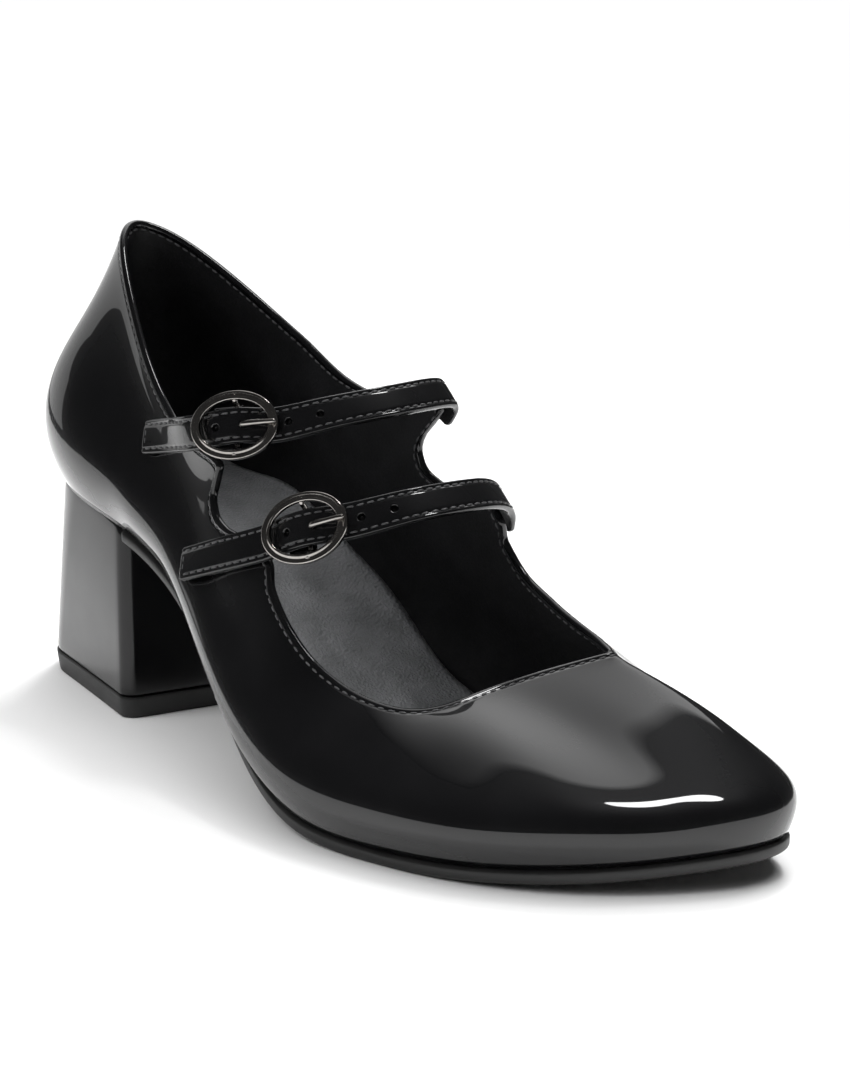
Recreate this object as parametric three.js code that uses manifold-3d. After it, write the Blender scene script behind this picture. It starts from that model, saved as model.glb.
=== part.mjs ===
import * as THREE from 'three';
import ManifoldModule from 'manifold-3d';

// Women's double-strap mary jane on a flared block heel, right foot.
// Millimetres, +X to the toe, +Y to the medial side, +Z up, floor at z = 0.

const HEEL_SEAT = 60;
const BACK_HEIGHT = 126;
const WALL = 1.9;
const GAP = 0.3;
const SOLE_THICKNESS = 3.5;
const INSOLE_THICKNESS = 2.8;
const TOP_LIFT = 5.8;
const HEEL_MIDDLE_Y = -0.5;
const HEEL_TOP = { back: 2.5, radius: 23.5, breast: 47.5, halfWidth: 24.8 };
const HEEL_FOOT = { back: -9.2, radius: 17, breast: 50.5, halfWidth: 26.3 };
const BREAST_SLANT = 0.2;
const SHANK_START = { lateral: 48.4, medial: 58.3 };
const STRAP_WIDTH = 8.8;
const STRAP_THICKNESS = 1.8;
const BUCKLE_LENGTH = 22;
const BUCKLE_WIDTH = 17;
const WIRE_RADIUS = 1.05;
const BAR_RADIUS = 0.7;
const PRONG_RADIUS = 0.75;
const PRONG_SLOT = { from: -2.9, to: 4, width: 2.2 };
const FRAME_RISE = 2.85;
const BAR_RISE = 0.45;
const ORIGIN_X = 110.65;
const ORIGIN_Y = -3.4;

// Height of the foot bed above the floor along the shoe: heel seat, shank, ball, toe spring.
const BED = [
  // x, z
  [-6, HEEL_SEAT + 1.6], [5, HEEL_SEAT], [30, 55.8], [46, 51.8], [57, 48], [69, 42.5],
  [83, 34.5], [101, 23.5], [121, 12], [133, 7.4], [146, 4.6], [160, 3.8], [175, 3.8],
  [190, 4.6], [212, 6.8], [228, 9.3], [240, 11.4],
];

// Sections of the last, round the shoe from the back along the lateral side to the toe and back
// along the medial side. x y: where the upper meets the sole. tx ty tz: the topline above it.
// belly: how far the wall stands out between heights low and high. Shoulder and crown: how far in
// and how far up the wall has come before it reaches the topline.
const STATIONS = [
  //  x, y, tx, ty, tz, belly, low, high, shoulderIn, shoulderUp, crownIn, crownUp
  [3, 0, 19, 0, BACK_HEIGHT, 7, 9, 26, 6.5, 45, 14.5, 59],
  [11, -18.3, 26, -9.8, 121.5, 6, 9, 26, 6.5, 42, 13.5, 55],
  [29.5, -26.3, 40.6, -16.8, 107, 5, 9, 22, 5.2, 33, 9.8, 44],
  [46, -26, 56.3, -21.6, 92, 5, 8, 18, 2, 26, 4.5, 34],
  [57, -25.5, 72, -24.5, 81, 6, 7, 16, 1, 22, 1.5, 29],
  [69, -26, 85, -26.5, 72.5, 6, 7, 15, 0, 20, 1, 25],
  [83, -28.5, 98, -28.5, 63, 6, 6, 14, 0, 18, 1, 24],
  [101, -34.5, 112, -31, 53, 6, 6, 15, 1, 19, 3, 25],
  [121, -40.8, 126, -33.5, 43.5, 5.5, 6, 15, 2, 20, 5, 27],
  [145, -44.8, 141, -32.5, 35.5, 5, 6, 14, 2, 20, 8, 26.5],
  [168.5, -41.3, 155, -29, 31.7, 4.5, 6, 13, 3, 19, 10, 25],
  [191, -32.8, 162, -22.5, 31, 4, 6, 12, 5, 18, 17, 25],
  [213, -15.2, 165, -14, 32.5, 3, 5.5, 11, 6.5, 15.5, 25, 23],
  [224.2, 0.4, 167, -4, 34.5, 2, 5, 10, 8.5, 14, 32, 21.3],
  [229.6, 13, 171.5, 8, 37, 1.3, 5, 10, 7.5, 13.5, 33, 22],
  [227.8, 24.8, 176, 17, 39, 1.8, 5, 10, 7, 15, 26, 25],
  [217, 32, 176.5, 20.8, 39.8, 3.5, 5.5, 11, 5, 18, 19, 27.2],
  [197, 37, 170, 23.4, 40.9, 4.5, 6, 12.5, 4, 21.5, 12, 31.2],
  [170, 38, 159, 25.6, 43.9, 5, 6, 14, 3.5, 24.5, 10.5, 34],
  [145, 36, 146, 27, 49.5, 5, 6, 15, 3, 28, 7.5, 38],
  [121, 31.5, 136, 27.5, 57.5, 6, 7, 18, 1, 32, 3, 40],
  [101, 27.5, 125, 27.5, 67, 6, 8, 18, 0, 29, 1, 37],
  [83, 24.5, 112, 27, 76, 6, 8, 17, -1, 26, 0, 34],
  [68, 23.5, 97, 26.3, 83.5, 6, 8, 17, 0, 25, 0, 33],
  [55, 23.5, 79, 25, 90.7, 6, 8, 17, 0, 26, 0, 34],
  [44, 24.5, 62, 22.8, 98.8, 6, 8, 18, 0, 28, 1.5, 37],
  [28.5, 25.3, 44, 18.2, 109.8, 5, 9, 22, 3.5, 34, 7, 45],
  [11, 17.8, 27, 9.8, 121.5, 6, 9, 26, 6.5, 42, 13.5, 55],
];

// Where the edge of the upper leaves the topline: tabs under the straps rise above it and the
// half-round cuts between the straps fall below it. Station number, fraction of the wall.
const EDGE = [
  // station, reach
  [0, 1.01], [2, 1.005], [3.7, 0.985], [4.6, 1.05], [5.15, 1.085], [5.3, 1.03], [5.45, 0.965],
  [5.75, 0.937], [6, 0.955], [6.25, 1.0], [6.6, 1.055], [6.95, 1.065], [7.35, 1.03], [8, 1.015],
  [9, 1], [16, 1], [18.5, 0.995], [19.5, 0.97], [20, 0.985], [20.2, 1.05], [20.6, 1.055],
  [21.1, 1.03], [21.45, 0.92], [21.8, 0.912], [22.15, 0.945], [22.35, 0.99], [22.5, 1.07],
  [22.8, 1.09], [23.4, 1.0], [24, 0.985], [25, 1.0], [28, 1.01],
];

// Centre lines of the straps from the lateral tip to the medial quarter. lean: angle of the strap's
// width below the horizontal. flare: how far its lower edge turns inwards. lift: how far the
// buckle's bar raises the strap.
const UPPER_STRAP = [
  // x, y, z, lean, flare, lift
  [58.5, -25.4, 76.4, 72, -0.33, 0],
  [71, -25.8, 79, 70, -0.1, 0],
  [82, -27.3, 81.4, 62, 0, 0],
  [92.2, -21.7, 83.6, 54, 0, 2.4],
  [100, -16, 84.8, 50, 0, 0],
  [107.5, -8.5, 87.4, 44, 0, 0],
  [112.8, 2, 89.4, 43, 0, 0],
  [115, 12.8, 90.4, 43, 0, 0],
  [113.6, 22, 90.3, 44, 0, 0],
  [110.8, 29.7, 88.3, 44, 0, 0],
  [107.3, 29.5, 82.9, 44, 0, 0],
];
const LOWER_STRAP = [
  // x, y, z, lean, flare, lift
  [86.5, -34.4, 50.4, 66, -0.46, 0],
  [99, -32.6, 55, 66, -0.32, 0],
  [111.5, -29.6, 59.6, 62, -0.26, 0],
  [122.4, -24, 64.2, 53, -0.1, 2.4],
  [131, -17.5, 67.3, 49, 0, 0],
  [137, -8, 69.9, 44, 0, 0],
  [139.8, 3, 71, 43, 0, 0],
  [139.6, 12.8, 70.7, 43, 0, 0],
  [137.3, 20.8, 69.3, 44, 0, 0],
  [134, 27.6, 65.7, 44, 0, 0],
  [130.4, 30.5, 59.9, 44, 0, 0],
];
const BUCKLE_AT = 3;

// ---------- curves ----------

function solve(rows, values) {
  const n = rows.length;
  const a = rows.map((row, i) => [...row, values[i]]);
  for (let c = 0; c < n; c += 1) {
    let best = c;
    for (let r = c + 1; r < n; r += 1) if (Math.abs(a[r][c]) > Math.abs(a[best][c])) best = r;
    [a[c], a[best]] = [a[best], a[c]];
    for (let r = c + 1; r < n; r += 1) {
      const k = a[r][c] / a[c][c];
      if (k !== 0) for (let j = c; j <= n; j += 1) a[r][j] -= k * a[c][j];
    }
  }
  const x = new Array(n).fill(0);
  for (let r = n - 1; r >= 0; r -= 1) {
    let sum = a[r][n];
    for (let j = r + 1; j < n; j += 1) sum -= a[r][j] * x[j];
    x[r] = sum / a[r][r];
  }
  return x;
}

// Cubic spline with continuous curvature through (knots, values); periodic or natural at the ends.
function spline(knots, values, periodic) {
  const n = periodic ? knots.length - 1 : knots.length;
  const h = (i) => knots[((i % n) + n) % n + 1] - knots[((i % n) + n) % n];
  const slope = (i) => {
    const k = ((i % n) + n) % n;
    return (values[periodic ? (k + 1) % n : k + 1] - values[k]) / h(k);
  };
  const rows = [];
  const right = [];
  for (let i = 0; i < n; i += 1) {
    const row = new Array(n).fill(0);
    if (!periodic && (i === 0 || i === n - 1)) {
      row[i] = 1;
      right.push(0);
    } else {
      row[(i + n - 1) % n] += h(i - 1);
      row[i] += 2 * (h(i - 1) + h(i));
      row[(i + 1) % n] += h(i);
      right.push(6 * (slope(i) - slope(i - 1)));
    }
    rows.push(row);
  }
  const m = solve(rows, right);
  return (t) => {
    let k = 0;
    const last = knots.length - 2;
    while (k < last && t > knots[k + 1]) k += 1;
    const d = knots[k + 1] - knots[k];
    const a = (knots[k + 1] - t) / d;
    const b = 1 - a;
    const next = periodic ? (k + 1) % n : k + 1;
    const bend = ((a * a * a - a) * m[k] + (b * b * b - b) * m[next]) * d * d / 6;
    return a * values[k] + b * values[next] + bend;
  };
}

// Smooth curve through a table of [at, value] rows that never overshoots between rows.
function gentle(table) {
  const d = table.slice(1).map((row, i) => (row[1] - table[i][1]) / (row[0] - table[i][0]));
  const m = table.map((row, i) => {
    if (i === 0 || i === table.length - 1 || d[i - 1] * d[i] <= 0) return 0;
    return 2 * d[i - 1] * d[i] / (d[i - 1] + d[i]);
  });
  return (t) => {
    let k = 0;
    while (k < table.length - 2 && t > table[k + 1][0]) k += 1;
    const h = table[k + 1][0] - table[k][0];
    const s = (t - table[k][0]) / h;
    const hold = (1 + 2 * s) * (1 - s) * (1 - s);
    const ease = s * (1 - s) * (1 - s) * h;
    const pull = s * s * (s - 1) * h;
    return hold * table[k][1] + ease * m[k] + (1 - hold) * table[k + 1][1] + pull * m[k + 1];
  };
}

// ---------- the last ----------

const bed = spline(BED.map((row) => row[0]), BED.map((row) => row[1]), false);
const COUNT = STATIONS.length;
const WALL_KNOTS = [0, 0, 0, 0, 1 / 3, 2 / 3, 1, 1, 1, 1];

function chordKnots(points, power) {
  const knots = [0];
  points.forEach((p, i) => {
    knots.push(knots[i] + p.distanceTo(points[(i + 1) % points.length]) ** power);
  });
  return knots.map((k) => k / knots[points.length]);
}

function controls() {
  const feet = STATIONS.map(([x, y]) => new THREE.Vector3(x, y, bed(x)));
  const knots = chordKnots(feet, 1);
  const fx = spline(knots, feet.map((p) => p.x), true);
  const fy = spline(knots, feet.map((p) => p.y), true);
  return STATIONS.map((row, i) => {
    const [, , tx, ty, tz, belly, low, high, shoulderIn, shoulderUp, crownIn, crownUp] = row;
    const foot = feet[i];
    const before = (knots[i] + 1 - 1e-4) % 1;
    const after = knots[i] + 1e-4;
    const along = new THREE.Vector3(fx(after) - fx(before), fy(after) - fy(before), 0).normalize();
    const inward = new THREE.Vector3(-along.y, along.x, 0);
    const top = new THREE.Vector3(tx, ty, tz);
    const slide = top.clone().sub(foot).dot(along);
    const at = (into, up) => foot.clone()
      .addScaledVector(inward, into)
      .addScaledVector(along, slide * (up / (tz - foot.z)) ** 2)
      .add(new THREE.Vector3(0, 0, up));
    return [foot, at(-belly, low), at(-belly, high), at(shoulderIn, shoulderUp),
      at(crownIn, crownUp), top];
  });
}

const CONTROLS = controls();
const LOOP = chordKnots(CONTROLS.map((c) => c[0].clone().add(c[2]).multiplyScalar(0.5)), 0.6);
const CURVES = [0, 1, 2, 3, 4, 5].map((j) => ['x', 'y', 'z'].map(
  (axis) => spline(LOOP, CONTROLS.map((c) => c[j][axis]), true),
));

// Weights of the six controls of a section at height fraction v.
function weights(v) {
  const span = v < WALL_KNOTS[4] ? 3 : v < WALL_KNOTS[5] ? 4 : 5;
  let w = [1];
  for (let degree = 1; degree <= 3; degree += 1) {
    const next = new Array(degree + 1).fill(0);
    for (let r = 0; r < degree; r += 1) {
      const left = WALL_KNOTS[span + 1 - degree + r];
      const right = WALL_KNOTS[span + 1 + r];
      const share = (v - left) / (right - left);
      next[r] += (1 - share) * w[r];
      next[r + 1] += share * w[r];
    }
    w = next;
  }
  return { first: span - 3, w };
}

// Loop fraction of a station number; whole numbers are rows of the table.
function loopAt(station) {
  const s = ((station % COUNT) + COUNT) % COUNT;
  const k = Math.floor(s);
  return LOOP[k] + (s - k) * (LOOP[k + 1] - LOOP[k]);
}

function last(station, v) {
  const u = loopAt(station);
  const { first, w } = weights(v);
  const p = new THREE.Vector3();
  w.forEach((weight, j) => {
    const [cx, cy, cz] = CURVES[first + j];
    p.add(new THREE.Vector3(cx(u), cy(u), cz(u)).multiplyScalar(weight));
  });
  return p;
}

function outward(station, v) {
  const e = 1e-3;
  const along = last(station + e, v).sub(last(station - e, v));
  const up = last(station, v + e).sub(last(station, v - e));
  return along.cross(up).normalize();
}

// Plan outline of the sole line, moved inwards by a distance.
function outline(station, inset) {
  const e = 1e-3;
  const p = last(station, 0);
  const along = last(station + e, 0).sub(last(station - e, 0)).setZ(0).normalize();
  return new THREE.Vector3(p.x - along.y * inset, p.y + along.x * inset, 0);
}

// ---------- solids ----------

function geometry(positions, triangles) {
  const g = new THREE.BufferGeometry();
  g.setAttribute('position', new THREE.Float32BufferAttribute(positions, 3));
  g.setIndex(triangles);
  return g;
}

function signedVolume(positions, triangles) {
  const corner = (k) => new THREE.Vector3().fromArray(positions, 3 * triangles[k]);
  let total = 0;
  for (let k = 0; k < triangles.length; k += 3) {
    total += corner(k).dot(corner(k + 1).cross(corner(k + 2))) / 6;
  }
  return total;
}

// Solid through a list of closed rings of equal length. A wrapped solid joins the last ring to the
// first; any other is closed at both ends by strips between opposite points of the end rings.
function loft(rings, wrapped) {
  const n = rings[0].length;
  const positions = rings.flat().flatMap((p) => [p.x - ORIGIN_X, p.y - ORIGIN_Y, p.z]);
  const triangles = [];
  const spans = wrapped ? rings.length : rings.length - 1;
  for (let i = 0; i < spans; i += 1) {
    for (let j = 0; j < n; j += 1) {
      const a = i * n + j;
      const b = i * n + (j + 1) % n;
      const c = ((i + 1) % rings.length) * n + j;
      const d = ((i + 1) % rings.length) * n + (j + 1) % n;
      triangles.push(a, b, d, a, d, c);
    }
  }
  if (!wrapped) {
    [0, (rings.length - 1) * n].forEach((base, end) => {
      for (let j = 0; j < n / 2 - 1; j += 1) {
        const quad = [base + j, base + j + 1, base + n - 2 - j, base + n - 1 - j];
        const [a, b, c, d] = end === 0 ? [...quad].reverse() : quad;
        triangles.push(a, b, c, a, c, d);
      }
    });
  }
  if (signedVolume(positions, triangles) < 0) triangles.reverse();
  return geometry(positions, triangles);
}

function mesh(name, g, kind) {
  g.computeVertexNormals();
  const m = new THREE.Mesh(g, new THREE.MeshStandardMaterial(kind));
  m.name = name;
  return m;
}

const PATENT = { color: 0x101012, roughness: 0.12, metalness: 0 };
const SOCK = { color: 0x55565a, roughness: 0.7, metalness: 0 };
const RUBBER = { color: 0x1a1a1b, roughness: 0.75, metalness: 0 };
const METAL = { color: 0x8c8a88, roughness: 0.2, metalness: 1 };

function stationsOfUpper() {
  const list = [];
  for (let k = 0; k < COUNT; k += 1) {
    const busy = (k >= 4 && k < 8) || (k >= 19 && k < 24);
    const parts = busy ? 6 : 3;
    for (let i = 0; i < parts; i += 1) list.push(k + i / parts);
  }
  return list;
}

function upper() {
  const rows = 9;
  const edge = gentle(EDGE);
  const rings = stationsOfUpper().map((station) => {
    const outer = [];
    const inner = [];
    for (let j = 0; j <= rows; j += 1) {
      const v = edge(station) * j / rows;
      const p = last(station, v);
      outer.push(p);
      inner.push(p.clone().addScaledVector(outward(station, v), -WALL));
    }
    return [...outer, ...inner.reverse()];
  });
  return loft(rings, true);
}

// Ring round the sole line between two stations, lateral side out to the toe and medial side back.
function soleRing(from, to, inset, height) {
  const half = 44;
  const toe = COUNT / 2;
  const ring = [];
  for (let i = 0; i <= half; i += 1) {
    const p = outline(from + (toe - 0.02 - from) * i / half, inset);
    ring.push(p.setZ(height(p.x)));
  }
  for (let i = half; i >= 0; i -= 1) {
    const p = outline(to + (toe + 0.02 - to) * i / half, inset);
    ring.push(p.setZ(height(p.x)));
  }
  return ring;
}

// Station on one side where the sole line reaches x.
function stationAt(x, start, end) {
  let a = start;
  let b = end;
  for (let i = 0; i < 40; i += 1) {
    const m = (a + b) / 2;
    if (last(m, 0).x < x) a = m;
    else b = m;
  }
  return (a + b) / 2;
}

function outsole() {
  const lateral = stationAt(SHANK_START.lateral, 1, 10);
  const medial = stationAt(SHANK_START.medial, COUNT - 1, COUNT - 10);
  const top = (x) => bed(x) - GAP;
  const bottom = (x) => Math.max(0, bed(x) - GAP - SOLE_THICKNESS);
  const ring = (inset, height) => soleRing(lateral, medial, inset, height);
  return loft([
    ring(0.6, top),
    ring(-0.4, (x) => top(x) - 0.5),
    ring(-0.4, (x) => (top(x) + bottom(x)) / 2),
    ring(0.4, (x) => bottom(x) + 0.6),
    ring(1.6, bottom),
  ], false);
}

function insole() {
  const clear = WALL + 2 * GAP;
  const ring = (inset, lift) => soleRing(0.02, COUNT - 0.02, clear + inset, (x) => bed(x) + lift);
  return loft([
    ring(0.9, INSOLE_THICKNESS),
    ring(0.1, INSOLE_THICKNESS - 0.5),
    ring(0.1, 0.9),
    ring(0.8, 0.3),
  ], false);
}

// Plan outline of the heel: a breast that slants forward to the medial side, sides that close in
// towards the back and a round back.
function heelRing({ back, radius, breast, halfWidth }, grow, height) {
  const corner = 3;
  const centre = back + radius;
  const front = breast + grow - corner;
  const side = halfWidth + grow - corner;
  const round = radius + grow;
  const reach = Math.hypot(front - centre, side);
  const turn = Math.atan2(side, front - centre) + Math.acos((round - corner) / reach);
  const points = [];
  const arc = (cx, cy, r, from, to, steps) => {
    for (let i = 0; i <= steps; i += 1) {
      const a = from + (to - from) * i / steps;
      points.push(new THREE.Vector3(cx + r * Math.cos(a), cy + r * Math.sin(a), 0));
    }
  };
  arc(front, -side, corner, 0, -turn, 4);
  arc(centre, 0, round, -turn, turn - 2 * Math.PI, 27);
  arc(front, side, corner, turn, 0, 4);
  return points.map((p) => {
    const share = THREE.MathUtils.clamp((p.x - centre) / (breast - centre), 0, 1);
    const x = p.x + BREAST_SLANT * (p.y + halfWidth) * share;
    return new THREE.Vector3(x, p.y + HEEL_MIDDLE_Y, height(x));
  });
}

function heelBlock() {
  const levels = 6;
  const rings = [];
  for (let i = 0; i <= levels; i += 1) {
    const t = i / levels;
    const mix = (a, b) => a + (b - a) * t;
    const size = {};
    Object.keys(HEEL_TOP).forEach((key) => {
      size[key] = mix(HEEL_TOP[key], HEEL_FOOT[key]);
    });
    rings.push(heelRing(size, 0, (x) => mix(bed(x) - GAP, TOP_LIFT + GAP)));
  }
  return loft(rings.reverse(), false);
}

function heelTopLift() {
  const ring = (grow, z) => heelRing(HEEL_FOOT, grow, () => z);
  return loft([ring(-0.9, 0), ring(-0.5, 0.5), ring(0.3, TOP_LIFT)], false);
}

// Frame along a strap at fraction t: position, direction, width direction and normal.
function strapFrame(table) {
  const points = table.map(([x, y, z]) => new THREE.Vector3(x, y, z));
  const knots = [0];
  points.slice(1).forEach((p, i) => knots.push(knots[i] + p.distanceTo(points[i])));
  const curve = (column) => spline(knots, table.map((row) => row[column]), false);
  const [cx, cy, cz, lean, flare] = [0, 1, 2, 3, 4].map(curve);
  const lift = gentle(table.map((row, i) => [knots[i], row[5]]));
  const at = (s) => new THREE.Vector3(cx(s), cy(s), cz(s));
  const frame = (s) => {
    const along = at(s + 0.05).sub(at(s - 0.05)).normalize();
    const a = lean(s) * Math.PI / 180;
    const across = new THREE.Vector3(Math.cos(a), flare(s), -Math.sin(a));
    across.addScaledVector(along, -across.dot(along)).normalize();
    const normal = across.clone().cross(along).normalize();
    return { origin: at(s), along, across, normal, lift: lift(s) };
  };
  return { frame, knots };
}

function strap(table) {
  const { frame, knots } = strapFrame(table);
  const place = buckleFrame(table);
  const length = knots[knots.length - 1];
  const steps = 40;
  const w = STRAP_WIDTH / 2;
  const t = STRAP_THICKNESS / 2;
  const section = [[w - 0.5, t], [w, 0.2], [w, -0.2], [w - 0.4, -t], [0.4 - w, -t], [-w, -0.2],
    [-w, 0.2], [0.5 - w, t]];
  const rings = [];
  for (let i = 0; i <= steps; i += 1) {
    const { origin, across, normal, lift } = frame(length * i / steps);
    rings.push(section.map(([a, n]) => origin.clone()
      .addScaledVector(across, a)
      .addScaledVector(normal, n + lift)));
  }
  const slot = [PRONG_SLOT.from, PRONG_SLOT.to].map((end) => [
    [-1, -2], [-1, 6], [1, 6], [1, -2],
  ].map(([side, n]) => place(end, side * PRONG_SLOT.width / 2, n)));
  return combined('difference', [loft(rings, false), loft(slot, false)]);
}

// Round bar swept along a path of points with a radius at each.
function sweep(points, radii, closed, sides) {
  const n = points.length;
  const rings = points.map((p, i) => {
    const before = closed ? points[(i + n - 1) % n] : points[Math.max(i - 1, 0)];
    const after = closed ? points[(i + 1) % n] : points[Math.min(i + 1, n - 1)];
    const along = after.clone().sub(before).normalize();
    const side = sweep.up.clone().cross(along).normalize();
    const up = along.clone().cross(side);
    const ring = [];
    for (let k = 0; k < sides; k += 1) {
      const a = 2 * Math.PI * (k + 0.5) / sides;
      ring.push(p.clone()
        .addScaledVector(side, radii[i] * Math.cos(a))
        .addScaledVector(up, radii[i] * Math.sin(a)));
    }
    return ring;
  });
  return loft(rings, closed);
}

const { Manifold, Mesh } = await (async () => {
  const module = await ManifoldModule();
  module.setup();
  return module;
})();

function toManifold(g) {
  const positions = Float32Array.from(g.getAttribute('position').array);
  return new Manifold(new Mesh({
    numProp: 3, vertProperties: positions, triVerts: Uint32Array.from(g.index.array),
  }));
}

function combined(how, list) {
  const result = Manifold[how](list.map(toManifold)).getMesh();
  return geometry(Array.from(result.vertProperties), Array.from(result.triVerts));
}

// Buckle frame coordinates: s along the strap towards its medial end, a across, n outwards.
function buckleFrame(table) {
  const { frame, knots } = strapFrame(table);
  const { origin, along, across, normal } = frame(knots[BUCKLE_AT]);
  return (s, a, n) => origin.clone()
    .addScaledVector(along, s)
    .addScaledVector(across, a)
    .addScaledVector(normal, n);
}

function buckle(table) {
  const place = buckleFrame(table);
  sweep.up = place(0, 0, 1).sub(place(0, 0, 0));
  const oval = [];
  for (let i = 0; i < 44; i += 1) {
    const a = 2 * Math.PI * i / 44;
    const s = (BUCKLE_LENGTH / 2 - WIRE_RADIUS) * Math.cos(a);
    const w = (BUCKLE_WIDTH / 2 - WIRE_RADIUS) * Math.sin(a);
    oval.push(place(s, w, FRAME_RISE));
  }
  const reach = BUCKLE_WIDTH / 2 - WIRE_RADIUS;
  const bar = [[-reach, FRAME_RISE], [1.2 - reach, FRAME_RISE - 0.5], [2.4 - reach, BAR_RISE],
    [reach - 2.4, BAR_RISE], [reach - 1.2, FRAME_RISE - 0.5], [reach, FRAME_RISE]];
  return combined('union', [
    sweep(oval, oval.map(() => WIRE_RADIUS), true, 8),
    sweep(bar.map(([a, n]) => place(0, a, n)), bar.map(() => BAR_RADIUS), false, 8),
  ]);
}

function prong(table) {
  const place = buckleFrame(table);
  sweep.up = place(0, 1, 0).sub(place(0, 0, 0));
  const curl = BAR_RADIUS + PRONG_RADIUS + GAP;
  const rest = FRAME_RISE + WIRE_RADIUS + PRONG_RADIUS + 0.1;
  const path = [];
  for (let i = 0; i <= 8; i += 1) {
    const a = (150 + 210 * i / 8) * Math.PI / 180;
    path.push([curl * Math.sin(a), BAR_RISE + curl * Math.cos(a)]);
  }
  path.push([1.8, 2.9], [3.4, rest - 0.1], [BUCKLE_LENGTH / 2 - 1, rest],
    [BUCKLE_LENGTH / 2 + 1, rest - 0.3]);
  const points = path.map(([s, n]) => place(s, 0, n));
  const radii = points.map((p, i) => (i === points.length - 1 ? 0.5 : PRONG_RADIUS));
  return sweep(points, radii, false, 8);
}

const shoe = new THREE.Group();
shoe.name = 'mary_jane_shoe';
shoe.add(
  mesh('upper', upper(), PATENT),
  mesh('insole', insole(), SOCK),
  mesh('outsole', outsole(), RUBBER),
  mesh('heel_block', heelBlock(), PATENT),
  mesh('heel_top_lift', heelTopLift(), RUBBER),
  mesh('strap_upper', strap(UPPER_STRAP), PATENT),
  mesh('strap_lower', strap(LOWER_STRAP), PATENT),
  mesh('buckle_frame_upper', buckle(UPPER_STRAP), METAL),
  mesh('buckle_frame_lower', buckle(LOWER_STRAP), METAL),
  mesh('buckle_prong_upper', prong(UPPER_STRAP), METAL),
  mesh('buckle_prong_lower', prong(LOWER_STRAP), METAL),
);

export default shoe;
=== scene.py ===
"""Patent double-strap mary jane on a flared block heel: fine surfaces, materials, light and camera.

Shapes are worked out in the design frame of the CAD part, in millimetres: x from the back of the
heel to the toe, y to the medial side, z up from the floor. row() turns them into metres in the
shared frame.
"""
import math

import bpy
import numpy as np
from mathutils import Matrix, Vector


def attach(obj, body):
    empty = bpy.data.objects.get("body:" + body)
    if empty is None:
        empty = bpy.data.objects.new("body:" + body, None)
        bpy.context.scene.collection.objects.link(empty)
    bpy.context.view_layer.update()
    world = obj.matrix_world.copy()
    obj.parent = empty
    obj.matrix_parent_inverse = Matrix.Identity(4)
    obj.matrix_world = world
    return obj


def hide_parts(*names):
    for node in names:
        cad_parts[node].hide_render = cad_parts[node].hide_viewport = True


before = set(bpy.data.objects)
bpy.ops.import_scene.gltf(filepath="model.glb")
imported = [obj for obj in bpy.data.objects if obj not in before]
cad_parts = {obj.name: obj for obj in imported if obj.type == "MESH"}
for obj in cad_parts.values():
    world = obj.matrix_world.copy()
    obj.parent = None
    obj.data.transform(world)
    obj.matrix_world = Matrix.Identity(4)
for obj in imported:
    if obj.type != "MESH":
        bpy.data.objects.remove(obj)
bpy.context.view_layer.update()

# ---------- sizes shared with the CAD part ----------

ORIGIN = np.array([110.65, -3.4, 0.0])
HEEL_SEAT = 60.0
BACK_HEIGHT = 126.0
WALL = 1.9
GAP = 0.3
SOLE_THICKNESS = 3.5
INSOLE_THICKNESS = 2.8
TOP_LIFT = 5.8
HEEL_MIDDLE_Y = -0.5
# Back, radius of the back, breast and half width of the heel at its top and at its foot.
HEEL_TOP = np.array([2.5, 23.5, 47.5, 24.8])
HEEL_FOOT = np.array([-9.2, 17, 50.5, 26.3])
BREAST_SLANT = 0.2
SHANK_START = {"lateral": 48.4, "medial": 58.3}
STRAP_WIDTH = 8.8
STRAP_THICKNESS = 1.8
BUCKLE_LENGTH = 22.0
BUCKLE_WIDTH = 17.0
WIRE_RADIUS = 1.05
BAR_RADIUS = 0.7
PRONG_RADIUS = 0.75
# Height of the frame and of its bar over the strap's middle plane.
FRAME_RISE = 2.85
BAR_RISE = 0.45
# Row of a strap's table where the bar of its buckle lies.
BUCKLE_AT = 3

# Height of the foot bed above the floor along the shoe.
BED = [
    # x, z
    (-6, HEEL_SEAT + 1.6), (5, HEEL_SEAT), (30, 55.8), (46, 51.8), (57, 48), (69, 42.5),
    (83, 34.5), (101, 23.5), (121, 12), (133, 7.4), (146, 4.6), (160, 3.8), (175, 3.8),
    (190, 4.6), (212, 6.8), (228, 9.3), (240, 11.4),
]

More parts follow.
